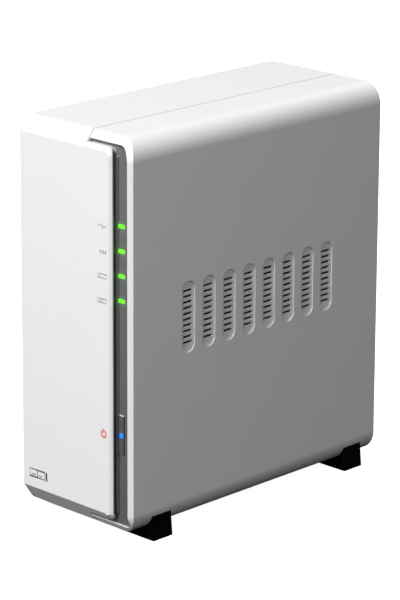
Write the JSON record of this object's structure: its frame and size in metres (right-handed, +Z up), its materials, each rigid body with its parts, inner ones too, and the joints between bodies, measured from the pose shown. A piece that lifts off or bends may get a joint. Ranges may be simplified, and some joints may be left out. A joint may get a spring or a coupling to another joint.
{
  "type": "network attached storage",
  "caption": "Upright two-drive network storage box: white shells, dark light strip with power button, fan, drives and boards inside.",
  "frame": {"origin": "on the surface the feet stand on, under the middle of the case", "axes": "+Z up, front of the case towards -Y, light strip and power button towards +X"},
  "size_m": [0.0996, 0.2256, 0.2585],
  "materials": {
    "white_shell": "satin moulded white, fine texture",
    "strip_plastic": "satin dark grey",
    "foot_rubber": "matte black",
    "green_light": "lit green light guide",
    "blue_light": "lit blue light guide",
    "panel_plastic": "fine textured light grey",
    "sheet_steel": "galvanised sheet",
    "screw_steel": "nickel plated",
    "circuit_board": "green solder mask",
    "chip_black": "moulded black",
    "header_nylon": "natural nylon",
    "sink_aluminium": "plain extruded",
    "drive_casting": "die cast",
    "drive_lid": "satin sheet lid",
    "fan_plastic": "glass filled black",
    "fan_coil": "lacquered copper windings",
    "magnet": "bonded ferrite",
    "bearing_brass": "sintered bronze and gold plate",
    "socket_metal": "tin plated shield",
    "lead_jacket": "black sleeve"
  },
  "bodies": {
    "chassis": {"backplane": "circuit_board", "base_tray": "sheet_steel", "buzzer": "chip_black", "capacitors": "chip_black", "cell_holder": "header_nylon", "coin_cell": "screw_steel", "cover_screws": "screw_steel", "drive_1_board": "circuit_board", "drive_1_casting": "drive_casting", "drive_1_connector": "chip_black", "drive_1_lens": "green_light", "drive_1_lid": "drive_lid", "drive_2_board": "circuit_board", "drive_2_casting": "drive_casting", "drive_2_connector": "chip_black", "drive_2_lens": "green_light", "drive_2_lid": "drive_lid", "drive_cage": "sheet_steel", "drive_screws": "screw_steel", "drive_sockets": "chip_black", "fan_bearing": "bearing_brass", "fan_frame": "fan_plastic", "fan_lead": "lead_jacket", "fan_screws": "screw_steel", "fan_stator": "fan_coil", "frame_screws": "screw_steel", "front_board": "circuit_board", "front_board_screws": "screw_steel", "front_lead": "lead_jacket", "front_leds": "header_nylon", "heat_sink": "sink_aluminium", "lan_socket": "socket_metal", "lead_headers": "header_nylon", "led_strip": "strip_plastic", "left_feet": "foot_rubber", "left_shell": "white_shell", "mainboard": "circuit_board", "memory_chips": "chip_black", "network_lens": "green_light", "power_socket": "chip_black", "processor": "chip_black", "push_switches": "chip_black", "rear_panel": "panel_plastic", "rear_panel_screws": "screw_steel", "riser_board": "circuit_board", "riser_slots": "chip_black", "socket_contacts": "bearing_brass", "status_lens": "green_light", "usb_sockets": "socket_metal", "usb_tongues": "header_nylon"},
    "right_shell": {"right_shell": "white_shell", "right_feet": "foot_rubber"},
    "power_button": {"power_button": "strip_plastic", "power_lens": "blue_light", "power_switch_stem": "chip_black"},
    "reset_button": {"reset_button": "chip_black"},
    "fan_rotor": {"fan_rotor": "fan_plastic", "fan_magnet": "magnet", "fan_shaft": "screw_steel"}
  },
  "joints": [
    {"name": "cover_slide", "type": "slide", "parent": "chassis", "child": "right_shell", "axis": [0, -1, 0], "range_m": [0, 0.02]},
    {"name": "power_button_press", "type": "slide", "parent": "chassis", "child": "power_button", "axis": [0, 1, 0], "range_m": [0, 0.0008], "stiffness_N_per_m": 1500, "springref_m": -0.0004},
    {"name": "reset_button_press", "type": "slide", "parent": "chassis", "child": "reset_button", "axis": [0, -1, 0], "range_m": [0, 0.0005], "stiffness_N_per_m": 1500, "springref_m": -0.0004},
    {"name": "fan_spin", "type": "hinge", "parent": "chassis", "child": "fan_rotor", "pos_m": [-0.002, 0.095, 0.186], "axis": [0, 1, 0], "continuous": true}
  ]
}
